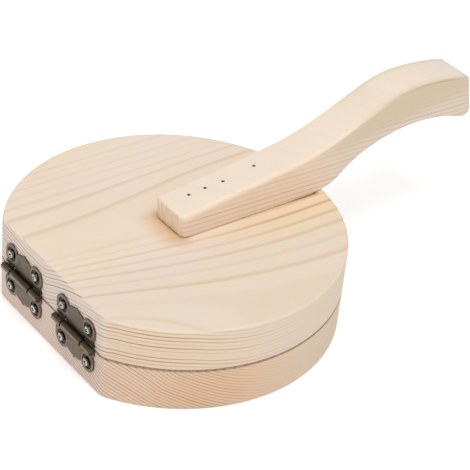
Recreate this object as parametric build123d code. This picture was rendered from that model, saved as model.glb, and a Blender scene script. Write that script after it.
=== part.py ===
from build123d import *
from math import cos, radians, sin, tan
import os

# Dumpling wrapper press: two round boards hinged at a straight back edge, with a curved
# handle on the upper one. Millimetres, +Z up. The origin is the centre of the round
# boards on the underside of the lower one, and +X runs along the handle, away from the
# hinges. Left and right are as seen from behind the hinges, so left is +Y.

# Boards
board_radius = 65.0
flat_distance = 55.0
flat_corner_radius = 7.0
lower_thickness = 17.4
upper_thickness = 17.4
closed_gap = 0.3
outer_edge_bevel = 0.7
mating_edge_bevel = 0.5

# Handle, glued and nailed on the upper board
handle_width = 17.0
heel_overrun = 3.3
heel_height = 9.1
heel_lean = 7.0
handle_rounding = 2.4
lift_before_rim = 5.5
lift_radius = 20.0
lift_angle = 42.0
ease_radius = 38.5
ease_angle = 19.0
grip_under_radius = 70.0
grip_under_angle = 50.3
top_slope = 7.5
rise_before_rim = 20.0
rise_radius = 110.0
rise_angle = 15.5
ramp_length = 20.0
crest_radius = 46.0
fall_radius = 120.0
fall_angle = 13.0

# Nails through the handle, each with its place along and across it
nail_places = [(5.9, 1.9), (13.1, 1.6), (20.8, 0.8), (35.8, 1.4)]
nail_length = 22.0
nail_radius = 0.6
nail_point_length = 1.5
nail_sink = 0.45
nail_clearance = 0.02

# Hinges, a pair on the straight back edge
hinge_places = {"left": 17.9, "right": -17.8}
hinge_length = 25.0
sheet_thickness = 0.65
pin_radius = 0.8
pin_clearance = 0.05
pin_end_inset = 0.15
centre_knuckle_length = 12.5
knuckle_gap = 0.6
sweep_clearance = 0.4
relief_width = 1.0
relief_reach = 3.1
roll_seam = 0.2
leaf_reach = 11.3
lobe_radius = 4.1
ogee_half_width = 4.7
ogee_foot_reach = 8.9
ogee_turn_width = 2.1
ogee_turn_reach = 10.2
ogee_foot_angle = 130.0
waist_reach = 3.6
waist_radius = 1.1
waist_depth = 0.9

# Hinge screws
screw_reach = 7.2
screw_head_radius = 1.8
screw_head_height = 1.4
screw_crown_radius = 1.2
screw_crown_drop = 0.6
screw_shank_radius = 1.0
screw_length = 9.0
screw_hole_clearance = 0.3
pilot_clearance = 0.02
pilot_extra_depth = 0.5
dimple_clearance = 1.1
dimple_depth = 0.35
cross_span = 2.0
cross_width = 0.5
cross_depth = 0.8

# Worked out from the values above
upper_base = lower_thickness + closed_gap
board_top = upper_base + upper_thickness
heel_top_x = -heel_overrun - heel_height * tan(radians(heel_lean))
knuckle_bore = pin_radius + pin_clearance
barrel_radius = knuckle_bore + sheet_thickness
leaf_front_x = -flat_distance - sheet_thickness
screw_seat_x = leaf_front_x + dimple_depth
hinge_axis_x = -flat_distance - barrel_radius
hinge_axis_z = lower_thickness + closed_gap / 2
screw_offset = hinge_length / 2 - lobe_radius
pilot_depth = screw_length - sheet_thickness + dimple_depth + pilot_extra_depth
downward = (Align.CENTER, Align.CENTER, Align.MAX)
upward = (Align.CENTER, Align.CENTER, Align.MIN)


def round_board(base, thickness, bottom_bevel, top_bevel):
    """A round board with a straight back edge and eased rims."""
    disc = Circle(board_radius)
    behind = Pos(-flat_distance - board_radius, 0) * Rectangle(2 * board_radius, 2 * board_radius)
    outline = disc - behind
    outline = fillet(outline.vertices(), flat_corner_radius)
    board = Pos(0, 0, base) * extrude(outline, thickness)
    board = chamfer(board.faces().sort_by(Axis.Z)[0].edges(), bottom_bevel)
    return chamfer(board.faces().sort_by(Axis.Z)[-1].edges(), top_bevel)


def back_height(x):
    """Height of the handle's straight back above the upper board, x along the handle."""
    return heel_height + (x - heel_top_x) * tan(radians(top_slope))


def handle_outline():
    """The handle's side view, X along it and Y up from the board that it stands on."""
    foot = Line((-heel_overrun, 0), (board_radius - lift_before_rim, 0))
    lift = JernArc(foot @ 1, foot % 1, lift_radius, lift_angle)
    ease = JernArc(lift @ 1, lift % 1, ease_radius, -ease_angle)
    grip_under = JernArc(ease @ 1, ease % 1, grip_under_radius, -grip_under_angle)
    rise_x = board_radius - rise_before_rim
    back = Line((heel_top_x, heel_height), (rise_x, back_height(rise_x)))
    rise = JernArc(back @ 1, back % 1, rise_radius, rise_angle)
    ramp = Line(rise @ 1, (rise @ 1) + (rise % 1) * ramp_length)
    crest = JernArc(ramp @ 1, ramp % 1, crest_radius, -top_slope - rise_angle)
    fall = JernArc(crest @ 1, crest % 1, fall_radius, -fall_angle)
    tip = Line(grip_under @ 1, fall @ 1)
    heel = Line(foot @ 0, back @ 0)
    return make_face([foot, lift, ease, grip_under, tip, fall, crest, ramp, rise, back, heel])


def facing(solid, direction):
    """The faces of a bar that look mostly along a direction."""
    return solid.faces().filter_by(lambda face: face.normal_at().dot(Vector(direction)) > 0.8)


def lengthwise_edges(faces):
    """The edges of some faces that don't run straight across the handle."""
    return ShapeList(edge for face in faces for edge in face.edges() if abs((edge % 0.5).Y) < 0.5)


def plain_handle():
    """The curved handle before its nail holes, rounded along its upper edges and round its tip."""
    bar = Pos(0, 0, board_top) * extrude(Plane.XZ * handle_outline(), handle_width / 2, both=True)
    tip_edges = facing(bar, (1, 0, 0)).sort_by(Axis.X)[-1].edges()
    return fillet(lengthwise_edges(facing(bar, (0, 0, 1))) + tip_edges, handle_rounding)


def nail():
    """A headless nail on Z with a chisel point, its upper end at the origin."""
    shank = Cylinder(nail_radius, nail_length, align=downward)
    slant = Polyline((0, 0), (nail_radius, nail_point_length), (nail_radius, 0), (0, 0))
    cut = Pos(0, 0, -nail_length) * extrude(Plane.XZ * make_face(slant), nail_radius, both=True)
    return shank - cut - mirror(cut, about=Plane.YZ)


def nail_hole():
    """The hole that one nail leaves, open above its upper end, which is driven under."""
    return Cylinder(nail_radius + nail_clearance, 2 * nail_length)


def nail_spots():
    """Where each nail's upper end is, sunk in the sloping back of the handle."""
    return [Pos(x, y, board_top + back_height(x) - nail_sink) for x, y in nail_places]


def screw():
    """A pan-head cross-recess screw on Z, its head standing on the origin's plane."""
    outline = Polyline(
        (0, screw_head_height),
        (screw_crown_radius, screw_head_height),
        (screw_head_radius, screw_head_height - screw_crown_drop),
        (screw_head_radius, 0),
        (screw_shank_radius, 0),
        (screw_shank_radius, -screw_length),
        (0, -screw_length),
        (0, screw_head_height),
    )
    turned = revolve(Plane.XZ * make_face(outline), Axis.Z)
    recess = Rectangle(cross_span, cross_width) + Rectangle(cross_width, cross_span)
    return turned - Pos(0, 0, screw_head_height) * extrude(recess, -cross_depth)


def on_back_edge(x, y, z):
    """A place at the straight back edge whose own Z looks outwards, away from the wood."""
    return Plane(origin=(x, y, z), x_dir=(0, 1, 0), z_dir=(-1, 0, 0)).location


def screw_spots(hinge_y, side, x):
    """The places of one leaf's screws, where side is 1 for an upper leaf and -1 for a lower."""
    z = hinge_axis_z + side * screw_reach
    return [on_back_edge(x, hinge_y + offset, z) for offset in (screw_offset, -screw_offset)]


def pilot_holes(side):
    """The holes in one board for all its hinge screws."""
    hole = Cylinder(screw_shank_radius + pilot_clearance, pilot_depth, align=downward)
    spots = [spot for y in hinge_places.values() for spot in screw_spots(y, side, -flat_distance)]
    return [spot * hole for spot in spots]


def ogee():
    """The pointed middle of a leaf's free edge, as a face that reaches down past the screws."""
    foot = (ogee_half_width, ogee_foot_reach)
    turn = (ogee_turn_width, ogee_turn_reach)
    direction = (cos(radians(ogee_foot_angle)), sin(radians(ogee_foot_angle)))
    shoulder = TangentArc(foot, turn, tangent=direction)
    point = TangentArc(turn, (0, leaf_reach), tangent=shoulder % 1)
    rest = Polyline((0, leaf_reach), (0, waist_reach), (ogee_half_width, waist_reach), foot)
    half = make_face([shoulder, point, rest])
    return half + mirror(half, about=Plane.YZ)


def leaf_outline():
    """A lobed leaf seen from the front, its hinge axis at Y = 0 and its free edge above."""
    field = Rectangle(hinge_length, leaf_reach - lobe_radius, align=(Align.CENTER, Align.MIN))
    outline = field + ogee()
    waist_x = hinge_length / 2 + waist_radius - waist_depth
    for sign in (1, -1):
        outline += Pos(sign * screw_offset, screw_reach) * Circle(lobe_radius)
        outline -= Pos(sign * waist_x, waist_reach) * Circle(waist_radius)
    return outline


def rolled_knuckle(start, end):
    """Sheet rolled round the hinge axis from y = start to y = end, its edge just short of the leaf."""
    ring = Circle(barrel_radius) - Circle(knuckle_bore)
    seam = Pos(knuckle_bore - roll_seam / 2, barrel_radius / 2) * Rectangle(roll_seam, barrel_radius)
    section = Plane.XZ.offset(-end) * Pos(hinge_axis_x, 0) * (ring - seam)
    return extrude(section, end - start)


def upper_shape_leaf(own_spans, other_spans):
    """A leaf at y = 0 above its axis at z = 0, with its own knuckles and room for the others."""
    plate = Pos(leaf_front_x, 0, 0) * extrude(Plane.YZ * leaf_outline(), sheet_thickness)
    swept = barrel_radius + sweep_clearance
    for start, end in other_spans:
        plate -= Pos(leaf_front_x, (start + end) / 2, 0) * Box(4 * sheet_thickness, end - start, 2 * swept)
        for corner in (start, end):
            if abs(corner) < hinge_length / 2:
                plate -= Pos(leaf_front_x, corner, 0) * Box(4 * sheet_thickness, relief_width, 2 * relief_reach)
    for start, end in own_spans:
        plate += rolled_knuckle(start, end)
    hole = Cylinder(screw_shank_radius + screw_hole_clearance, 4 * sheet_thickness)
    dimple = Cylinder(screw_head_radius + dimple_clearance, dimple_depth, align=upward)
    for offset in (screw_offset, -screw_offset):
        plate -= on_back_edge(screw_seat_x, offset, screw_reach) * (hole + dimple)
    return plate


def leaves():
    """The upper and the lower leaf of a hinge at y = 0 and z = 0."""
    half = hinge_length / 2
    centre = centre_knuckle_length / 2
    outer = centre + knuckle_gap
    upper = upper_shape_leaf([(-centre, centre)], [(-half, -centre), (centre, half)])
    lower = upper_shape_leaf([(-half, -outer), (outer, half)], [(-outer, outer)])
    return upper, mirror(lower, about=Plane.XY)


def hinge_pin():
    """The pin through a hinge's knuckles, along Y."""
    return Pos(hinge_axis_x, 0, 0) * Rot(90, 0, 0) * Cylinder(pin_radius, hinge_length - 2 * pin_end_inset)


def boards_and_handle():
    """The three wooden pieces with their nail and screw holes."""
    holes = [spot * nail_hole() for spot in nail_spots()]
    lower = round_board(0, lower_thickness, outer_edge_bevel, mating_edge_bevel)
    upper = round_board(upper_base, upper_thickness, mating_edge_bevel, outer_edge_bevel)
    return {
        "lower_board": lower - pilot_holes(-1),
        "upper_board": upper - pilot_holes(1) - holes,
        "handle": plain_handle() - holes,
    }


def hinge(side_name, y):
    """One hinge's leaves, pin and screws, by name."""
    place = Pos(0, y, hinge_axis_z)
    upper, lower = leaves()
    pieces = {
        f"{side_name}_hinge_upper_leaf": place * upper,
        f"{side_name}_hinge_lower_leaf": place * lower,
        f"{side_name}_hinge_pin": place * hinge_pin(),
    }
    for level, side in (("upper", 1), ("lower", -1)):
        for number, spot in enumerate(screw_spots(y, side, screw_seat_x), 1):
            pieces[f"{side_name}_hinge_{level}_screw_{number}"] = spot * screw()
    return pieces


def all_pieces():
    """Every piece of the press, by the name of its file."""
    pieces = boards_and_handle()
    for number, spot in enumerate(nail_spots(), 1):
        pieces[f"handle_nail_{number}"] = spot * nail()
    for side_name, y in hinge_places.items():
        pieces.update(hinge(side_name, y))
    return pieces


os.makedirs("parts", exist_ok=True)
for name, shape in all_pieces().items():
    export_step(shape, f"parts/{name}.step")
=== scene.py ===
import math

import bmesh
import bpy
from mathutils import Matrix, Vector

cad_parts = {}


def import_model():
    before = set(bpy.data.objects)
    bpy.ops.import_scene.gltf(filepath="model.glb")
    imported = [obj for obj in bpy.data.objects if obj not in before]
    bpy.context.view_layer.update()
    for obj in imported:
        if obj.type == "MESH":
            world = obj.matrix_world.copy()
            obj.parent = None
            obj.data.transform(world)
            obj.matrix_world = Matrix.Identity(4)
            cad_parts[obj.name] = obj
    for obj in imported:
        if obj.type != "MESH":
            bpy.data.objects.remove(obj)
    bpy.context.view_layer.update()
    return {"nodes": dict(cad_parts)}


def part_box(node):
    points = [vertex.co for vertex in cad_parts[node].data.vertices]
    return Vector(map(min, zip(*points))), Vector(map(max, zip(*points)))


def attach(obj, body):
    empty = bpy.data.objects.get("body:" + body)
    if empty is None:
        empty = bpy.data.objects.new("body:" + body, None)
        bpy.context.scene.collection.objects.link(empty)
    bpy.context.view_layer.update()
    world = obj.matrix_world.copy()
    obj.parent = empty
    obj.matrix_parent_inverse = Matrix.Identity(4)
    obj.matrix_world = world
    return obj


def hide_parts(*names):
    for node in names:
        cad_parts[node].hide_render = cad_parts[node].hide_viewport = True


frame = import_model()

nodes = frame["nodes"]
mm = 0.001
nail_numbers = (1, 2, 3, 4)
hinge_sides = ("left", "right")

# Boards, in metres like all sizes of the meshes
outer_rim_radius = 0.9 * mm
mating_rim_radius = 0.6 * mm
flat_corner_radius = 7.0 * mm
rim_segments = 6
rim_support = 0.35 * mm
round_points = 240
corner_points = 14

# Handle: its side view as lines with a length and arcs with a radius and angle, from the heel on
foot_start_x = -3.3 * mm
foot_length = 62.8 * mm
handle_underside = ((20.0, 42.0), (38.5, -19.0), (70.0, -49.4))
heel_height = 9.1 * mm
heel_lean = 7.0
back_slope = 7.5
back_length = 49.83 * mm
handle_back = ((110.0, 15.5), (20.0,), (46.0, -23.0), (120.0, -13.0))
arc_point_spacing = 1.0 * mm
tip_points = 10
below_foot = 3.0 * mm
foot_cut_size = Vector((100.0, 30.0, 20.0)) * mm
tip_corner_radius = 2.9 * mm
tip_corner_steps = 8
corner_sight = 3
heel_corner_radius = 1.0 * mm
heel_corner_segments = 4
heel_edge_rounding = 2.1 * mm
crest_edge_rounding = 1.0 * mm
tip_edge_rounding = 1.8 * mm
underside_edge_rounding = 0.6 * mm
left_side_rounding = 0.5
rounding_passes = 3
side_support = 1.1

# Open mouths above the nails
nail_mouth_radius = 0.72 * mm
nail_mouth_taper = 0.85
nail_mouth_height = 2.4 * mm
nail_mouth_rise = 0.5 * mm
nail_mouth_points = 20

# Hinge leaves, and the angle from which an edge counts as sharp
leaf_edge_rounding = 0.12 * mm
leaf_edge_segments = 2
leaf_weld_distance = 0.002 * mm
sharp_angle = math.radians(40)
carved_sharp_angle = math.radians(35)

# Screws. The cross recess and the pit in its middle narrow from their mouths to their floors.
screw_head_radius = 1.8 * mm
screw_head_height = 1.4 * mm
crown_height = 0.62 * screw_head_height
crown_steps = 8
head_side_end = 0.9 * screw_head_height
head_seat_radius = 0.94 * screw_head_radius
screw_shank_radius = 0.95 * mm
screw_tip_radius = 0.1 * mm
screw_point_length = 2.5 * mm
screw_length = 10.4 * mm
cross_span = 2.1 * mm
cross_width = 0.62 * mm
cross_depth = 0.9 * mm
cross_mouth = 1.1
cross_floor = 0.55
pit_radius = 0.72 * mm
pit_depth = 1.05 * cross_depth
pit_floor = 0.4
pit_points = 12
recess_cutter_rise = 0.5 * mm
head_points = 40
turn_per_screw = 2.4

# Places and sizes in the materials, which count in millimetres
board_top = 35.1
parting_height = 17.55
upper_ring_width = 1.59
upper_ring_weights = (0.4, 0.4, 0.85, 0.6, 0.9, 0.5, 1.0, 0.3, 0.5, 0.4)
upper_ring_weights += (0.85, 0.7, 0.35, 1.0, 0.4, 0.15, 0.8, 1.0, 0.5, 0.3)
upper_first_ring = -1.415
foot_start = foot_start_x / mm
foot_end = (foot_start_x + foot_length) / mm
foot_half_width = 8.5
foot_corner_right = 2.1
foot_corner_left = 1.0
stain_half_width = 7.5
leaf_face = -55.65
hinge_middle = 17.85
screw_from_middle = 8.4
screw_from_parting = 7.2
knuckle_seam = 6.55
wide_waves = (0.012, 0.04, 0.04)

# Camera, as in the photo
camera_place = Vector((-321.15, -413.61, 394.16)) * mm
camera_aim = Vector((31.64, 3.12, 17.5)) * mm
camera_roll = 6.268
camera_lens = 129.41
sensor_width = 36.0
clip_start = 0.01
clip_end = 20.0

# Studio
lamp_place = Vector((-0.25, -0.45, 1.25))
lamp_aim = Vector((0.03, 0.0, 0.02))
lamp_size = 1.0
lamp_power = 9.5
world_light = 0.6
floor_size = 12.0
floor_drop = 0.2 * mm
floor_grey = 0.86
floor_roughness = 0.9
floor_glow = 0.3
white = (1.0, 1.0, 1.0, 1.0)


# Shader arithmetic


class Field:
    """A number that varies over a surface; arithmetic on it adds shader nodes."""

    def __init__(self, tree, socket):
        self.tree = tree
        self.socket = socket

    def math(self, operation, *others):
        """A math node's result from this number and others."""
        node = self.tree.nodes.new("ShaderNodeMath")
        node.operation = operation
        for target, value in zip(node.inputs, (self, *others)):
            feed(self.tree, target, value)
        return Field(self.tree, node.outputs[0])

    def __add__(self, other):
        return self.math("ADD", other)

    def __sub__(self, other):
        return self.math("SUBTRACT", other)

    def __rsub__(self, other):
        return self.math("MULTIPLY", -1.0) + other

    def __mul__(self, other):
        return self.math("MULTIPLY", other)

    def __truediv__(self, other):
        return self.math("DIVIDE", other)

    def __abs__(self):
        return self.math("ABSOLUTE")

    def at_least(self, other):
        return self.math("MAXIMUM", other)

    def at_most(self, other):
        return self.math("MINIMUM", other)

    def clamped(self):
        """The number kept from 0 to 1."""
        return self.at_least(0.0).at_most(1.0)

    def rise(self, low, high, start=0.0, end=1.0):
        """Eases from start to end as the number goes from low to high."""
        node = self.tree.nodes.new("ShaderNodeMapRange")
        node.interpolation_type = "SMOOTHSTEP"
        for target, value in zip(node.inputs, (self, low, high, start, end)):
            feed(self.tree, target, value)
        return Field(self.tree, node.outputs[0])

    def fall(self, low, high):
        """Eases from 1 to 0 as the number goes from low to high."""
        return self.rise(low, high, 1.0, 0.0)

    def band(self, start, low, high, end):
        """1 where the number is from low to high, easing to 0 at start and end."""
        return self.rise(start, low) * self.fall(high, end)


def feed(tree, socket, value):
    """Links a field or a node's output to a socket, or sets the socket's own value."""
    if isinstance(value, Field):
        value = value.socket
    if isinstance(value, bpy.types.NodeSocket):
        tree.links.new(value, socket)
    else:
        socket.default_value = value


def span(across, along):
    """The distance from where both fields are 0."""
    return (across * across + along * along).math("SQRT")


def srgb(red, green, blue):
    """A colour written as on screen, from 0 to 255, as linear red, green, blue and alpha."""
    parts = [value / 255 for value in (red, green, blue)]
    linear = [part / 12.92 if part <= 0.04045 else ((part + 0.055) / 1.055) ** 2.4 for part in parts]
    return (*linear, 1.0)


class Paint:
    """A Principled material with the surface's own coordinates in millimetres."""

    def __init__(self, name):
        self.material = bpy.data.materials.new(name)
        self.material.use_nodes = True
        self.tree = self.material.node_tree
        self.shader = self.tree.nodes["Principled BSDF"]
        coordinates = self.tree.nodes.new("ShaderNodeTexCoord")
        self.place = self.scaled(coordinates.outputs["Object"], (1 / mm, 1 / mm, 1 / mm))
        self.x, self.y, self.z = self.parts(self.place)
        self.facing_x, self.facing_y, self.facing_z = self.parts(coordinates.outputs["Normal"])

    def scaled(self, vector, scale):
        node = self.tree.nodes.new("ShaderNodeVectorMath")
        node.operation = "MULTIPLY"
        self.tree.links.new(vector, node.inputs[0])
        node.inputs[1].default_value = scale
        return node.outputs[0]

    def parts(self, vector):
        node = self.tree.nodes.new("ShaderNodeSeparateXYZ")
        self.tree.links.new(vector, node.inputs[0])
        return [Field(self.tree, output) for output in node.outputs]

    def joined(self, x, y, z):
        node = self.tree.nodes.new("ShaderNodeCombineXYZ")
        for socket, value in zip(node.inputs, (x, y, z)):
            feed(self.tree, socket, value)
        return node.outputs[0]

    def noise(self, per_mm, detail, roughness, shift):
        """Noise from -1 to 1 with so many waves per millimetre along x, y and z."""
        node = self.tree.nodes.new("ShaderNodeTexNoise")
        node.noise_dimensions = "4D"
        self.tree.links.new(self.scaled(self.place, per_mm), node.inputs["Vector"])
        node.inputs["W"].default_value = shift
        node.inputs["Scale"].default_value = 1.0
        node.inputs["Detail"].default_value = detail
        node.inputs["Roughness"].default_value = roughness
        return Field(self.tree, node.outputs["Fac"]) * 2.0 - 1.0

    def chance(self, number):
        """A number from 0 to 1 drawn anew for each whole number."""
        node = self.tree.nodes.new("ShaderNodeTexWhiteNoise")
        node.noise_dimensions = "1D"
        feed(self.tree, node.inputs["W"], number)
        return Field(self.tree, node.outputs["Value"])

    def mix(self, amount, first, second, blend="MIX"):
        """First colour where the amount is 0, second where it is 1."""
        node = self.tree.nodes.new("ShaderNodeMix")
        node.data_type = "RGBA"
        node.blend_type = blend
        feed(self.tree, node.inputs["Factor"], amount)
        feed(self.tree, node.inputs[6], first)
        feed(self.tree, node.inputs[7], second)
        return node.outputs[2]

    def bump(self, height, depth):
        """Relief from a height of 0 to 1 that stands for so many metres."""
        node = self.tree.nodes.new("ShaderNodeBump")
        node.inputs["Distance"].default_value = depth
        feed(self.tree, node.inputs["Height"], height)
        self.tree.links.new(node.outputs["Normal"], self.shader.inputs["Normal"])

    def set(self, **values):
        """Sets the shader's inputs and gives the finished material."""
        for key, value in values.items():
            feed(self.tree, self.shader.inputs[key.replace("_", " ")], value)
        return self.material


# Colours

# Upper board
top_cream = srgb(233, 214, 191)
pinkish_cream = srgb(234, 214, 199)
warm_front = srgb(238, 211, 180)
resin_cream = srgb(236, 211, 176)
resin_yellow = srgb(228, 208, 172)
upper_end = srgb(238, 221, 207)
late_top = srgb(218, 190, 160)
late_resin = srgb(210, 168, 124)
late_side_back = srgb(166, 124, 98)
late_side_front = srgb(190, 150, 120)
late_upper_end = srgb(160, 134, 116)
glue_yellow = srgb(210, 168, 120)
bluer = (1.01, 1.03, 1.07, 1.0)
darker = (0.955, 0.967, 0.98, 1.0)
# Brown of the glue and painted shade round the handle's foot
foot_glue_and_shade_brown = srgb(138, 98, 60)
# Brown of the painted shade in the gap where the boards meet
parting_shade_brown = srgb(120, 88, 60)

# Lower board
pale_back = srgb(236, 208, 186)
pale_front = srgb(226, 204, 178)
front_tan = srgb(229, 193, 161)
lower_end = srgb(232, 208, 192)
late_lower = srgb(160, 114, 80)
late_lower_end = srgb(142, 106, 84)

# Handle
heel_side_low = srgb(240, 217, 195)
grip_side_low = srgb(232, 215, 196)
heel_side_high = srgb(240, 217, 190)
grip_side_high = srgb(222, 203, 175)
back_cream = srgb(236, 219, 201)
tip_cream = srgb(230, 220, 208)
# Painted shade on the top near its long edges towards the crest
crest_top_shade_colour = srgb(224, 206, 182)
heel_edge = srgb(238, 221, 195)
# Painted shade on the rounded long edges towards the crest
crest_rounding_shade = srgb(216, 197, 172)
# Brown of the painted shade line below the rounded edges
crest_line_shade_brown = srgb(206, 174, 142)
sawn_dark = srgb(226, 198, 174)
sawn_light = srgb(248, 230, 210)
late_back = srgb(222, 196, 166)
late_handle_side = srgb(206, 170, 146)
# Brown of the painted shade in the nail holes
nail_hole_shade_brown = srgb(74, 58, 40)

# Metals
bronze_dark = srgb(84, 72, 62)
bronze_light = srgb(128, 112, 94)
bronze_lip = srgb(146, 128, 106)
bronze_barrel = srgb(96, 84, 58)
bronze_speck = srgb(48, 41, 30)
# Painted highlight along the barrel
bronze_highlight = srgb(170, 152, 116)
bronze_shade = srgb(56, 50, 42)
# Black patina and painted shade in the dimples, painted shade in the knuckle gaps
bronze_patina_and_shade = srgb(36, 31, 26)
nickel_dull = srgb(150, 144, 136)
nickel_bright = srgb(214, 211, 204)
# Dark of the painted shade on the screw heads
nickel_shade = srgb(52, 46, 40)
nail_dark = srgb(52, 40, 28)
nail_brown = srgb(84, 66, 48)


# Pine, with its rings laid where the photo shows their lines


def upper_board_rings(paint):
    """Distance outwards through the growth rings, in millimetres. On top they are wide apart
    left of the middle and close to its right, where they swing aside along the board."""
    x, y = paint.x, paint.y
    swing = (((x + 52.0) / 100.0).clamped() * (math.pi / 2)).math("SINE")
    across = ((y + swing * 9.9) / (swing * 0.587 + 1.0)).at_least(y)
    across = across - x.rise(-40.0, 55.0, 0.0, 9.0) * y.band(9.0, 20.0, 26.0, 42.0)
    right = (2.9 - across).at_least(0.0).at_most(31.9)
    past = ((-29.0 - across).at_least(0.0) * x.rise(-52.0, -8.0, 0.13, 0.0)).at_most(1.18)
    left = (across - 16.1).at_least(0.0)
    dip = across.band(2.0, 7.0, 15.0, 24.0) * 0.5
    rings = right * (0.32 - right * 0.00314) + past + left * left * 0.0038 - dip
    return rings * upper_ring_width - paint.z + board_top


def lower_board_rings(paint):
    """The same for a board whose rings lean over and fold at its right front."""
    y = paint.y - paint.x.rise(-15.0, 60.0, 0.0, 8.0)
    steep = (-34.0 - y).at_least(0.0)
    level = y.at_least(0.0)
    behind = paint.z - y * 0.45 + steep * steep * steep * 0.0009 + level * level * 0.0025
    beyond = (-52.0 - y).at_least(0.0)
    front = (paint.z - y * 0.68 + beyond * beyond * 0.0275) * 1.185 - 15.2
    return behind.at_most(front + (y + 42.0).at_least(0.0) * 0.6)


def handle_rings(paint):
    """The same for the handle, with flat rings that dip a little towards its tip."""
    across = paint.y + 30.0
    return across * across * 0.002 + paint.z * 0.99 + paint.x * 0.03


class Pine(Paint):
    """Sanded pine with growth rings that run through the whole piece, along X."""

    def __init__(self, name, rings, ring_width, first_ring, shift, waver=(0.2, 0.06)):
        super().__init__(name)
        self.shift = shift
        turn = (rings(self) + self.wavering(*waver) - first_ring) / ring_width
        self.ring = turn.math("FLOOR")
        self.part = turn.math("FRACT")
        self.end = abs(self.facing_x).rise(0.82, 1.0)
        self.long = 1.0 - self.end
        self.top = self.facing_z.rise(0.2, 0.9)
        self.level = abs(self.facing_z).rise(0.2, 0.9)
        self.side = 1.0 - self.level
        self.patch = self.noise(wide_waves, 1.0, 0.5, shift + 9.0)

    def wavering(self, long_waves, short_waves):
        """How far the grain strays from its even course, in millimetres."""
        slow = self.noise(wide_waves, 1.0, 0.5, self.shift)
        quick = self.noise((0.06, 0.25, 0.25), 2.0, 0.5, self.shift + 5.0)
        return slow * long_waves + quick * short_waves

    def drawn_weight(self, least):
        """A darkness for each ring from least to 1."""
        return self.chance(self.ring + self.shift) * (1.0 - least) + least

    def listed_weight(self, weights):
        """A darkness for each ring from a list."""
        node = self.tree.nodes.new("ShaderNodeValToRGB")
        ramp = node.color_ramp
        ramp.interpolation = "CONSTANT"
        for number, weight in enumerate(weights):
            place = number / len(weights)
            stop = ramp.elements.new(place) if number > 1 else ramp.elements[number]
            stop.position = place
            stop.color = (weight, weight, weight, 1.0)
        feed(self.tree, node.inputs[0], (self.ring + 0.5) / len(weights))
        return Field(self.tree, node.outputs[0])

    def lines(self, weight, on_face, on_side, on_end):
        """The amount of late wood, with its own strength on faces, sides and end grain. In each
        ring the wood darkens slowly and ends sharply."""
        strength = self.side * (on_side - on_face) + on_face
        strength = strength + self.end * (on_end - strength)
        late_wood = self.part.band(0.52, 0.86, 0.88, 1.0).math("POWER", 1.2)
        return late_wood * weight * strength * (self.patch * 0.5 + 1.0)

    def faded_round(self, low, high):
        """What is left of the lines on a board's round side, which fade between two places
        along X, more on the right than on the left."""
        fading = self.side * self.long * self.x.rise(low, high, 0.0, 0.85)
        return 1.0 - fading * self.y.rise(-10.0, 20.0, 1.0, 0.4)

    def grained(self, colour, line):
        """Fibres, pores and relief over a colour, as the finished material."""
        fibre = self.noise((0.05, 2.4, 2.4), 4.0, 0.65, self.shift + 2.0)
        pore = self.noise((2.6, 2.6, 2.6), 2.0, 0.6, self.shift + 3.0)
        cloud = self.noise((0.02, 0.03, 0.03), 2.0, 0.5, self.shift + 4.0)
        grain = fibre * 0.05 * self.long + pore * 0.06 * self.end + cloud * 0.02 + 1.0
        colour = self.mix(1.0, colour, self.joined(grain, grain, grain), "MULTIPLY")
        self.bump(grain * 0.8 - line * 0.03, 0.1 * mm)
        return self.set(Base_Color=colour, Roughness=0.62)

    def parting_shade(self, colour):
        """Painted shade in the rounded rims where the boards meet, darkening the gap between them."""
        near = abs(self.z - parting_height).fall(0.3, 0.75)
        # painted shade on the rims and sides close to the parting
        grime = near * abs(self.facing_z).fall(0.75, 0.98)
        return self.mix(grime * 0.8, colour, parting_shade_brown)


def upper_pine():
    """Wide-ringed board: cream on top, warmer round its front and greyish pink on end grain."""
    wood = Pine("upper_board_pine", upper_board_rings, upper_ring_width, upper_first_ring, shift=1.0)
    under_handle = wood.x.rise(-5.0, 45.0) * wood.y.band(-32.0, -18.0, -4.0, 12.0)
    left = wood.y.band(16.0, 20.0, 35.5, 38.5) * wood.level
    front = wood.x.fall(-50.0, 20.0) * wood.y.fall(-50.0, -15.0) * wood.side
    line = wood.lines(wood.listed_weight(upper_ring_weights), on_face=0.75, on_side=0.85, on_end=1.0)
    line = line * wood.faded_round(-60.0, 30.0)
    line = line * (wood.y.rise(30.0, 42.0, 1.0, 0.4) * wood.long + wood.end)
    line = (line * (under_handle * 0.5 + 1.0) * (left * 1.2 + 1.0) * (front * 0.35 + 1.0)).clamped()

    pink = wood.noise((0.02, 0.05, 0.05), 1.0, 0.5, 14.0).rise(-0.3, 0.5)
    early = wood.mix(pink, top_cream, pinkish_cream)
    far_side = wood.y.rise(25.0, 45.0) * wood.x.rise(-30.0, 10.0) * wood.level
    early = wood.mix(far_side, early, bluer, "MULTIPLY")
    near_side = wood.y.fall(-18.0, -2.0) * wood.level
    early = wood.mix(near_side, early, darker, "MULTIPLY")
    early = wood.mix(front * 0.8, early, warm_front)
    resin = wood.noise((0.03, 0.25, 0.25), 2.0, 0.5, 15.0).rise(-0.4, 0.4)
    yellow = wood.mix(resin, resin_cream, resin_yellow)
    early = wood.mix(under_handle * wood.level * 0.8, early, yellow)
    early = wood.mix(wood.end, early, upper_end)

    late = wood.mix(under_handle, late_top, late_resin)
    side = wood.mix(wood.x.rise(-45.0, 10.0), late_side_back, late_side_front)
    late = wood.mix(wood.side, late, side)
    late = wood.mix(wood.end, late, late_upper_end)
    colour = wood.mix(line, early, late)
    colour = wood.mix(glue_stain(wood), colour, glue_yellow)
    colour = wood.mix(foot_glue_and_shade(wood), colour, foot_glue_and_shade_brown)
    return wood.grained(wood.parting_shade(colour), line)


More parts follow.
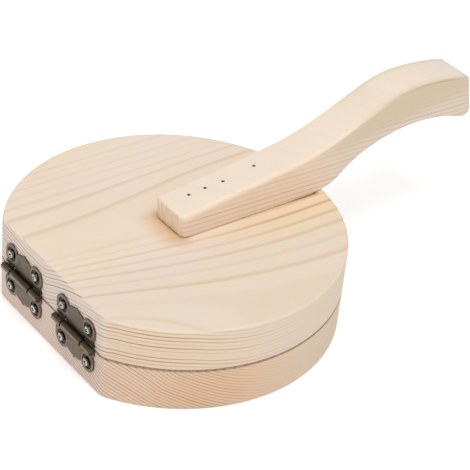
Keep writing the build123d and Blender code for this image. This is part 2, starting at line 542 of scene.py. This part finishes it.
def glue_stain(wood):
    """How yellow the top is round the handle's heel, where glue was pressed out."""
    behind = (foot_start - wood.x).at_least(0.0)
    beside = (abs(wood.y) - stain_half_width).at_least(0.0) * 1.4 + wood.x.rise(-3.0, 4.0, 0.0, 13.0)
    patchy = wood.noise((0.15, 0.3, 0.3), 3.0, 0.6, 17.0) * 2.0
    return (span(behind, beside) + patchy).rise(-2.0, 11.0, 0.9, 0.0) * wood.top


def foot_glue_and_shade(wood):
    """A narrow brown line on top round the foot of the handle: glue, and painted shade of the contact,
    which widens and darkens towards the handle's lifted end and reaches a little under it.
    """
    corner = wood.y.rise(-1.0, 1.0, foot_corner_right, foot_corner_left)
    behind = (corner + foot_start - wood.x).at_least(0.0)
    beside = (abs(wood.y) - foot_half_width + corner).at_least(0.0)
    outside = span(behind, beside) - corner
    lifted = outside.rise(-0.6, -0.3).at_least(wood.x.rise(foot_end - 0.5, foot_end + 0.5))
    near = outside.fall(0.3, wood.x.rise(30.0, 58.0, 1.1, 1.7)) * lifted
    uneven = wood.noise((0.25, 0.4, 0.4), 3.0, 0.6, 18.0).rise(-0.5, 0.5, 0.5, 1.0)
    uneven = uneven.at_least(wood.x.rise(30.0, 55.0))
    strength = wood.x.rise(-3.0, 0.0, 1.0, 0.8) + wood.x.rise(15.0, 50.0, 0.0, 0.2)
    strength = strength * wood.y.rise(5.5, 8.5, 1.0, 0.3) * wood.x.fall(foot_end, foot_end + 3.0)
    return near * strength * uneven * wood.top


def lower_pine():
    """Tan board with close aslant rings, strongest at its right front."""
    wood = Pine("lower_board_pine", lower_board_rings, ring_width=1.6, first_ring=0.0, shift=21.0)
    left_end = wood.end * wood.y.rise(-14.0, 4.0, 0.0, 0.75)
    line = wood.lines(wood.drawn_weight(0.6), on_face=0.7, on_side=1.0, on_end=0.9)
    line = (line * wood.faded_round(-32.0, 0.0) * (1.0 - left_end)).clamped()
    front = wood.x.rise(-50.0, -28.0, 0.4, 1.0) * wood.x.fall(-22.0, 20.0) * wood.y.fall(-50.0, -15.0)
    early = wood.mix(wood.x.rise(-50.0, -20.0), pale_back, pale_front)
    early = wood.mix(front * (wood.side * 0.65 + 0.35), early, front_tan)
    early = wood.mix(wood.end, early, lower_end)
    late = wood.mix(wood.end, late_lower, late_lower_end)
    return wood.grained(wood.parting_shade(wood.mix(line, early, late)), line)


def handle_pine():
    """Plain on top and along the upper part of its sides, with fine straight lines below."""
    wood = Pine("handle_pine", handle_rings, ring_width=2.1, first_ring=0.4, shift=43.0, waver=(0.1, 0.05))
    above = wood.z - wood.x * 0.15 - 41.5
    plain = above.rise(-2.0, 2.5) * wood.side
    line = wood.lines(wood.drawn_weight(0.5), on_face=0.12, on_side=0.75, on_end=0.1)
    line = (line * (1.0 - plain * 0.9)).clamped()

    grip = wood.x.rise(50.0, 84.0)
    lower_side = wood.mix(grip, heel_side_low, grip_side_low)
    upper_side = wood.mix(grip, heel_side_high, grip_side_high)
    side = wood.mix(above.rise(-4.0, 2.0), lower_side, upper_side)
    top = wood.mix(wood.x.rise(105.0, 140.0), back_cream, tip_cream)
    early = wood.mix(wood.side, top, side)

    toward_crest = wood.x.rise(70.0, 98.0)
    # Painted shade on the top near its long edges towards the crest
    crest_top_shade = toward_crest * abs(wood.y).rise(5.2, 8.0) * wood.facing_z.rise(0.5, 0.9)
    early = wood.mix(crest_top_shade * 0.7, early, crest_top_shade_colour)
    # The rounded long edges, pale at the heel and darkened towards the crest as painted shade
    edge = wood.mix(toward_crest, heel_edge, crest_rounding_shade)
    early = wood.mix(wood.facing_z.band(0.25, 0.6, 0.8, 0.97) * wood.long, early, edge)
    upright = wood.noise((0.3, 1.1, 0.15), 4.0, 0.7, 19.0)
    # A thin broken brown line of painted shade on the lower part of the rounded edges near the crest
    crest_line_shade = wood.facing_z.band(0.02, 0.15, 0.45, 0.75) * wood.x.band(90.0, 116.0, 124.0, 135.0) * wood.long
    early = wood.mix(crest_line_shade * upright.rise(-0.6, 0.3, 0.6, 1.0), early, crest_line_shade_brown)
    sawn = wood.mix(upright.rise(-0.5, 0.25), sawn_dark, sawn_light)
    early = wood.mix(wood.end, early, sawn)

    late = wood.mix(wood.side, late_back, late_handle_side)
    colour = wood.mix(nail_hole_shade(wood), wood.mix(line, early, late), nail_hole_shade_brown)
    return wood.grained(colour, line)


def nail_top(number):
    """The middle of a nail's upper end."""
    low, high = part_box(f"handle_nail_{number}")
    return Vector(((low.x + high.x) / 2, (low.y + high.y) / 2, high.z))


def nail_hole_shade(wood):
    """Painted shade in the nail holes and just round them: how dark the handle is there."""
    shade_in_holes = 0.0
    for number in nail_numbers:
        nail = nail_top(number) / mm
        shade_in_holes = span(wood.x - nail.x, wood.y - nail.y).fall(0.45, 0.85) + shade_in_holes
    return shade_in_holes.clamped()


# Metals


def bronze():
    """Antique bronze: dark brown, lighter from wear on the lips round the dimples, with black patina and
    painted shade in the dimples, painted shade in the knuckle gaps and in the crevice above the barrel, and
    a painted highlight along the barrel.
    """
    paint = Paint("antique_bronze")
    wear = paint.noise((0.5, 0.5, 0.5), 4.0, 0.65, 0.0)
    grit = paint.noise((4.0, 4.0, 4.0), 3.0, 0.6, 1.0)
    drawn = paint.noise((0.15, 0.15, 3.0), 3.0, 0.6, 2.0)

    from_middle = abs(abs(paint.y) - hinge_middle)
    above = paint.z - parting_height
    from_screw = span(from_middle - screw_from_middle, abs(above) - screw_from_parting) + wear * 0.15
    # Black patina and painted shade in the dimples round the screws
    dimple = from_screw.fall(2.6, 3.0)
    lip = from_screw.band(2.9, 3.2, 3.4, 4.0)

    barrel = paint.x.fall(leaf_face - 0.3, leaf_face - 0.1)
    # Painted shade in the crevice between the upper leaf and the barrel, reaching onto the barrel's upper
    # side
    above_barrel = (above + wear * 0.3).fall(2.8, 4.3) * above.rise(-0.5, 0.0) * (1.0 - barrel)
    shaded = (barrel * paint.facing_z.rise(0.75, 0.98) * 0.5).at_least(above_barrel)
    # Painted shade at the gaps between the knuckles, on the barrel's lower side
    knuckle_gap_shade = barrel * abs(from_middle - knuckle_seam).fall(0.45, 0.85)
    knuckle_gap_shade = knuckle_gap_shade * paint.facing_z.fall(0.1, 0.4) * paint.facing_z.rise(-0.8, -0.5)
    # Painted highlight: a light speckled streak along the barrel
    barrel_highlight = barrel * abs(paint.facing_y).fall(0.5, 0.8) * paint.facing_z.band(-0.2, 0.1, 0.3, 0.55)
    speckle = (grit + drawn * 0.5).rise(-0.4, 0.4)

    coat = paint.mix((wear + drawn * 0.5).rise(-0.6, 0.7), bronze_dark, bronze_light)
    coat = paint.mix(lip * 0.5, coat, bronze_lip)
    coat = paint.mix(barrel * 0.6, coat, bronze_barrel)
    coat = paint.mix(barrel * (1.0 - speckle) * 0.4, coat, bronze_speck)
    coat = paint.mix(barrel_highlight * speckle, coat, bronze_highlight)
    coat = paint.mix(shaded * 0.8, coat, bronze_shade)
    coat = paint.mix((dimple * 0.7).at_least(knuckle_gap_shade), coat, bronze_patina_and_shade)
    paint.bump(grit * 0.5 + wear, 0.05 * mm)
    return paint.set(Base_Color=coat, Metallic=0.85, Roughness=wear * 0.12 + 0.4)


def nickel():
    """Plating showing wear, with black painted shade in the cross recess and dark painted shade round the
    head's side.
    """
    paint = Paint("nickel")
    marks = paint.noise((1.5, 1.5, 1.5), 3.0, 0.6, 0.0)
    radius = span(paint.y, paint.z)
    # Painted shade in the cross recess and on the head's side
    recess = paint.x.rise(0.2, 0.35) * radius.fall(1.2, 1.3)
    side = radius.rise(1.3, 1.55)
    coat = paint.mix(marks.rise(-0.5, 0.4), nickel_dull, nickel_bright)
    coat = paint.mix(recess.at_least(side * 0.85), coat, nickel_shade)
    paint.bump(marks, 0.04 * mm)
    return paint.set(Base_Color=coat, Metallic=1.0, Roughness=marks * 0.08 + 0.3)


def nail_steel():
    """Dull darkened steel."""
    paint = Paint("nail_steel")
    grime = paint.noise((2.0, 2.0, 2.0), 3.0, 0.6, 0.0)
    coat = paint.mix(grime.rise(-0.5, 0.5), nail_dark, nail_brown)
    paint.bump(grime, 0.03 * mm)
    return paint.set(Base_Color=coat, Metallic=0.5, Roughness=grime * 0.1 + 0.6)


# Meshes and pieces


def linked(name, data):
    """A new object in the scene."""
    thing = bpy.data.objects.new(name, data)
    bpy.context.scene.collection.objects.link(thing)
    return thing


def mesh_of(form, name):
    """The mesh of a finished bmesh."""
    mesh = bpy.data.meshes.new(name)
    form.to_mesh(mesh)
    form.free()
    return mesh


def shade_smooth(mesh, angle):
    """Smooth faces that stay crisp where they meet at more than an angle."""
    mesh.polygons.foreach_set("use_smooth", [True] * len(mesh.polygons))
    mesh.set_sharp_from_angle(angle=angle)


def cover(mesh, material):
    """Gives a mesh its one material."""
    mesh.materials.clear()
    mesh.materials.append(material)


def new_piece(node, ending, mesh, body, material, place=None):
    """A mesh shown in a node's stead, which is named after it and rides on its body."""
    piece = linked(f"{node}_{ending}", mesh)
    if place:
        piece.matrix_world = place
    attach(piece, body)
    cover(mesh, material)
    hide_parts(node)


def join_loops(form, loops):
    """Faces between loops of as many points each, from the first loop to the last."""
    for near, far in zip(loops, loops[1:]):
        for here in range(len(near)):
            after = (here + 1) % len(near)
            form.faces.new((near[here], near[after], far[after], far[here]))


def join_and_close(form, loops):
    """A closed skin over loops of points."""
    join_loops(form, loops)
    form.faces.new(reversed(loops[0]))
    form.faces.new(loops[-1])


def carved(solid_mesh, cutter_mesh):
    """The first mesh with the second cut away from it."""
    solid, cutter = linked("solid", solid_mesh), linked("cutter", cutter_mesh)
    cut = solid.modifiers.new("cut", "BOOLEAN")
    cut.object = cutter
    cut.solver = "EXACT"
    cut.use_self = True
    view = bpy.context.evaluated_depsgraph_get()
    mesh = bpy.data.meshes.new_from_object(solid.evaluated_get(view))
    for part in (solid, cutter):
        bpy.data.objects.remove(part)
    shade_smooth(mesh, carved_sharp_angle)
    return mesh


def board_outline(radius, flat, inset):
    """Points round a board whose edge is moved inwards by an inset."""
    centre_x = flat + flat_corner_radius
    centre_y = math.sqrt((radius - flat_corner_radius) ** 2 - centre_x**2)
    meeting = math.atan2(centre_y, centre_x)
    corner = flat_corner_radius - inset
    points = []
    for step in range(round_points + 1):
        angle = meeting * (2 * step / round_points - 1)
        points.append(((radius - inset) * math.cos(angle), (radius - inset) * math.sin(angle)))
    for side in (1, -1):
        for step in range(1, corner_points + 1):
            share = step / corner_points if side == 1 else 1 - step / corner_points
            angle = side * (meeting + (math.pi - meeting) * share)
            points.append((centre_x + corner * math.cos(angle), side * centre_y + corner * math.sin(angle)))
    return points[:-1]


def rim_profile(low, high, low_rounding, high_rounding):
    """Inset and height round a board's edge, from the underside's flat to the upper side's."""
    low_bend = (low + low_rounding, low_rounding, -90)
    high_bend = (high - high_rounding, high_rounding, 0)
    profile = [(low_rounding + rim_support, low)]
    for centre, rounding, start in (low_bend, high_bend):
        for step in range(rim_segments + 1):
            angle = math.radians(start + 90 * step / rim_segments)
            profile.append((rounding * (1 - math.cos(angle)), centre + rounding * math.sin(angle)))
    return profile + [(high_rounding + rim_support, high)]


def board(node, body, low_rounding, high_rounding, material):
    """A round board with a straight back edge and softly rounded rims."""
    low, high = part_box(node)
    form = bmesh.new()
    loops = []
    for inset, height in rim_profile(low.z, high.z, low_rounding, high_rounding):
        outline = board_outline(high.y, low.x, inset)
        loops.append([form.verts.new((x, y, height)) for x, y in outline])
    join_and_close(form, loops)
    mesh = mesh_of(form, node)
    shade_smooth(mesh, sharp_angle)
    new_piece(node, "wood", mesh, body, material)


def side_path(start, heading, steps):
    """Points along a run of arcs and lines in the handle's side view, the start among them."""
    points = [start]
    heading = math.radians(heading)
    for size, *turn in steps:
        angle = math.radians(turn[0]) if turn else 0.0
        length = size * mm * (abs(angle) if turn else 1.0)
        count = round(length / arc_point_spacing)
        for _ in range(count):
            heading += angle / count / 2
            points.append(points[-1] + Vector((math.cos(heading), math.sin(heading))) * length / count)
            heading += angle / count / 2
    return points


def joined_by_arc(before, corner, after):
    """Two runs of points that met at a corner of the tip, joined by an arc."""
    runs = (before[-1 - corner_sight], after[corner_sight])
    ways = [(run.lerp(corner, 0.5) - corner).normalized() for run in runs]
    half_angle = ways[0].angle(ways[1]) / 2
    reach = tip_corner_radius / math.tan(half_angle)
    centre = corner + (ways[0] + ways[1]).normalized() * tip_corner_radius / math.sin(half_angle)
    start, end = ((corner + way * reach - centre).normalized() for way in ways)
    shares = [step / tip_corner_steps for step in range(tip_corner_steps + 1)]
    arc = [centre + start.slerp(end, share) * tip_corner_radius for share in shares]
    before, after = ([point for point in run if (point - corner).length > reach] for run in (before, after))
    return before + arc + after


def handle_outline(foot_z):
    """The handle's side view, anticlockwise from below its heel, and the rounding of the long
    edges at each point. The foot reaches too far down here, and is cut off level later."""
    lean = Vector((-math.tan(math.radians(heel_lean)), 1.0))
    heel = Vector((foot_start_x, foot_z))
    heel_top = heel + lean * heel_height
    slope = math.radians(back_slope)
    back_end = heel_top + Vector((math.cos(slope), math.sin(slope))) * back_length
    underside = side_path(heel + Vector((foot_length, 0.0)), 0.0, handle_underside)
    back = side_path(back_end, back_slope, handle_back)[::-1]
    tip = [underside[-1].lerp(back[0], step / tip_points) for step in range(1, tip_points)]
    foot = [heel - lean * below_foot, underside[0] - Vector((1.0, 1.0)) * below_foot]
    grip = joined_by_arc(underside[:-1], underside[-1], tip)
    grip = joined_by_arc(grip, back[0], back[1:])
    crest_x = max(back, key=lambda point: point.y).x
    roundings = [heel_edge_rounding, underside_edge_rounding]
    for point in grip:
        if point in underside:
            roundings.append(underside_edge_rounding)
        elif point in back:
            share = min(1.0, point.x / crest_x)
            roundings.append(heel_edge_rounding + (crest_edge_rounding - heel_edge_rounding) * share)
        else:
            roundings.append(tip_edge_rounding)
    roundings.append(heel_edge_rounding)
    for _ in range(rounding_passes):
        neighbours = zip(roundings[1:], roundings[2:-2], roundings[3:-1])
        roundings[2:-2] = [(before + here * 2 + after) / 4 for before, here, after in neighbours]
    return foot + grip + [heel_top], roundings


def moved_inwards(outline, roundings, share):
    """The outline moved inwards by a share of each point's rounding, its corners kept as corners."""
    moved = []
    for number, point in enumerate(outline):
        before = (point - outline[number - 1]).normalized()
        after = (outline[(number + 1) % len(outline)] - point).normalized()
        inwards_before, inwards_after = Vector((-before.y, before.x)), Vector((-after.y, after.x))
        mitre = (inwards_before + inwards_after) / (1 + inwards_before.dot(inwards_after))
        moved.append(point + mitre * roundings[number] * share)
    return moved


def handle(material):
    """The curved handle, its edges rounded most on the right, with open nail mouths."""
    low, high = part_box("handle")
    outline, roundings = handle_outline(low.z)
    profile = [(side_support, 0.0)]
    for step in range(rim_segments + 1):
        angle = math.radians(90 * step / rim_segments)
        profile.append((1 - math.sin(angle), 1 - math.cos(angle)))
    form = bmesh.new()
    loops = []
    for side, rows, amount in ((-1, profile, 1.0), (1, profile[::-1], left_side_rounding)):
        for inset, depth in rows:
            loop = []
            for point, rounding in zip(moved_inwards(outline, roundings, inset * amount), roundings):
                y = side * (high.y - rounding * depth * amount)
                loop.append(form.verts.new((point.x, y, point.y)))
            loops.append(loop)
    join_and_close(form, loops)
    heel_corner = [form.edges.get((near[-1], far[-1])) for near, far in zip(loops, loops[1:])]
    bmesh.ops.bevel(
        form,
        geom=heel_corner,
        offset=heel_corner_radius,
        segments=heel_corner_segments,
        profile=0.5,
        affect="EDGES",
    )
    bmesh.ops.recalc_face_normals(form, faces=form.faces)
    mesh = carved(mesh_of(form, "handle"), handle_cutters(low.z))
    new_piece("handle", "wood", mesh, "lid", material)


def handle_cutters(foot_z):
    """What is cut from the handle: all below its foot, and the mouths above the nails."""
    form = bmesh.new()
    top_end = Vector((foot_start_x + foot_length, 0.0, foot_z))
    middle = top_end - Vector((foot_cut_size.x, 0.0, foot_cut_size.z)) / 2
    place = Matrix.Translation(middle) @ Matrix.Diagonal((*foot_cut_size, 1.0))
    bmesh.ops.create_cube(form, size=1.0, matrix=place)
    for number in nail_numbers:
        middle = nail_top(number) + Vector((0.0, 0.0, nail_mouth_rise))
        bmesh.ops.create_cone(
            form,
            cap_ends=True,
            segments=nail_mouth_points,
            radius1=nail_mouth_radius * nail_mouth_taper,
            radius2=nail_mouth_radius,
            depth=nail_mouth_height,
            matrix=Matrix.Translation(middle),
        )
    return mesh_of(form, "handle_cutters")


def turned(profile, points):
    """A bmesh turned round X from a profile of x and radius that starts and ends on the axis."""
    form = bmesh.new()
    angles = [2 * math.pi * step / points for step in range(points)]
    loops = []
    for x, radius in profile[1:-1]:
        loops.append([form.verts.new((x, radius * math.cos(a), radius * math.sin(a))) for a in angles])
    join_loops(form, loops)
    for (x, _), loop in ((profile[0], loops[0]), (profile[-1], loops[-1])):
        middle = form.verts.new((x, 0, 0))
        for here in range(points):
            form.faces.new((middle, loop[here - 1], loop[here]))
    bmesh.ops.recalc_face_normals(form, faces=form.faces)
    return form


def cross_cutter():
    """The screws' tapered cross recess with its pit, along X."""
    form = bmesh.new()
    for y_size, z_size in ((cross_span, cross_width), (cross_width, cross_span)):
        bmesh.ops.create_cube(form, size=1.0)
        for corner in form.verts[-8:]:
            x, y, z = corner.co
            depth, taper = (cross_depth, cross_floor) if x > 0 else (-recess_cutter_rise, cross_mouth)
            corner.co = Vector((depth, y * y_size * taper, z * z_size * taper))
    bmesh.ops.create_cone(
        form,
        cap_ends=True,
        segments=pit_points,
        radius1=pit_radius,
        radius2=pit_radius * pit_floor,
        depth=1.0,
    )
    for corner in form.verts[-2 * pit_points :]:
        x, y, z = corner.co
        corner.co = Vector((pit_depth if z > 0 else -recess_cutter_rise, x, y))
    return mesh_of(form, "screw_cross")


def screw_mesh():
    """A pan-head screw along X, its crown at the origin, with a cross recess."""
    profile = [(0, 0)]
    for step in range(1, crown_steps + 1):
        angle = math.radians(90 * step / crown_steps)
        profile.append((crown_height * (1 - math.cos(angle)), screw_head_radius * math.sin(angle)))
    profile += [(head_side_end, screw_head_radius), (screw_head_height, head_seat_radius)]
    point_start = screw_length - screw_point_length
    profile += [(screw_head_height, screw_shank_radius), (point_start, screw_shank_radius)]
    profile += [(screw_length, screw_tip_radius), (screw_length, 0)]
    return carved(mesh_of(turned(profile, head_points), "screw_head"), cross_cutter())


def screws(material):
    """The eight hinge screws, each turned by its own amount."""
    mesh = screw_mesh()
    turns = 0
    for side in hinge_sides:
        for level, body in (("upper", "lid"), ("lower", "base")):
            for number in (1, 2):
                node = f"{side}_hinge_{level}_screw_{number}"
                low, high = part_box(node)
                turns += 1
                place = Matrix.Translation((low.x, (low.y + high.y) / 2, (low.z + high.z) / 2))
                place = place @ Matrix.Rotation(turns * turn_per_screw, 4, "X")
                new_piece(node, "head", mesh, body, material, place)


def hinge_plates(material):
    """The leaves and pins keep their solids, with the leaves' sharp sheet edges eased."""
    for side in hinge_sides:
        for part in ("upper_leaf", "lower_leaf", "pin"):
            node = nodes[f"{side}_hinge_{part}"]
            cover(node.data, material)
            if part != "pin":
                weld = node.modifiers.new("weld", "WELD")
                weld.merge_threshold = leaf_weld_distance
                bevel = node.modifiers.new("bevel", "BEVEL")
                bevel.width = leaf_edge_rounding
                bevel.segments = leaf_edge_segments
                bevel.angle_limit = sharp_angle


def nails(material):
    """The nails keep their solids."""
    for number in nail_numbers:
        cover(nodes[f"handle_nail_{number}"].data, material)


# Studio


def aimed(thing, place, aim, roll=0.0):
    """Puts a camera or lamp at a place, looking at a point, rolled by so many degrees."""
    thing.location = place
    looking = (aim - place).to_track_quat("-Z", "Y")
    thing.rotation_euler = (looking.to_matrix() @ Matrix.Rotation(math.radians(roll), 3, "Z")).to_euler()


def camera():
    """The camera fitted to the photo's outline."""
    data = bpy.data.cameras.new("camera")
    data.lens = camera_lens
    data.sensor_width = sensor_width
    data.clip_start = clip_start
    data.clip_end = clip_end
    thing = linked("camera", data)
    aimed(thing, camera_place, camera_aim, camera_roll)
    bpy.context.scene.camera = thing


def lamp():
    """One large soft lamp above the press, on the camera's side."""
    data = bpy.data.lights.new("key", "AREA")
    data.shape = "DISK"
    data.size = lamp_size
    data.energy = lamp_power
    aimed(linked("key", data), lamp_place, lamp_aim)


def floor():
    """A plain floor that shows white to the camera, and the object's shadow."""
    bpy.ops.mesh.primitive_plane_add(size=floor_size, location=(0, 0, -floor_drop))
    plane = bpy.context.object
    plane.name = "floor"
    material = bpy.data.materials.new("floor_white")
    material.use_nodes = True
    tree = material.node_tree
    shader = tree.nodes["Principled BSDF"]
    shader.inputs["Base Color"].default_value = (floor_grey, floor_grey, floor_grey, 1.0)
    shader.inputs["Roughness"].default_value = floor_roughness
    rays = tree.nodes.new("ShaderNodeLightPath")
    seen = Field(tree, rays.outputs["Is Camera Ray"]) + Field(tree, rays.outputs["Is Glossy Ray"])
    seen = (seen + Field(tree, rays.outputs["Is Transmission Ray"])).at_most(1.0)
    shader.inputs["Emission Color"].default_value = white
    feed(tree, shader.inputs["Emission Strength"], seen * floor_glow)
    plane.data.materials.append(material)


def world():
    """White to the camera, with a weaker light on the object."""
    place = bpy.data.worlds.new("studio")
    bpy.context.scene.world = place
    place.use_nodes = True
    tree = place.node_tree
    rays = tree.nodes.new("ShaderNodeLightPath")
    seen = Field(tree, rays.outputs["Is Camera Ray"])
    background = tree.nodes["Background"]
    background.inputs["Color"].default_value = white
    feed(tree, background.inputs["Strength"], seen * (1.0 - world_light) + world_light)


board("upper_board", "lid", mating_rim_radius, outer_rim_radius, upper_pine())
board("lower_board", "base", outer_rim_radius, mating_rim_radius, lower_pine())
handle(handle_pine())
screws(nickel())
hinge_plates(bronze())
nails(nail_steel())
camera()
lamp()
floor()
world()
bpy.context.scene.view_settings.view_transform = "Standard"
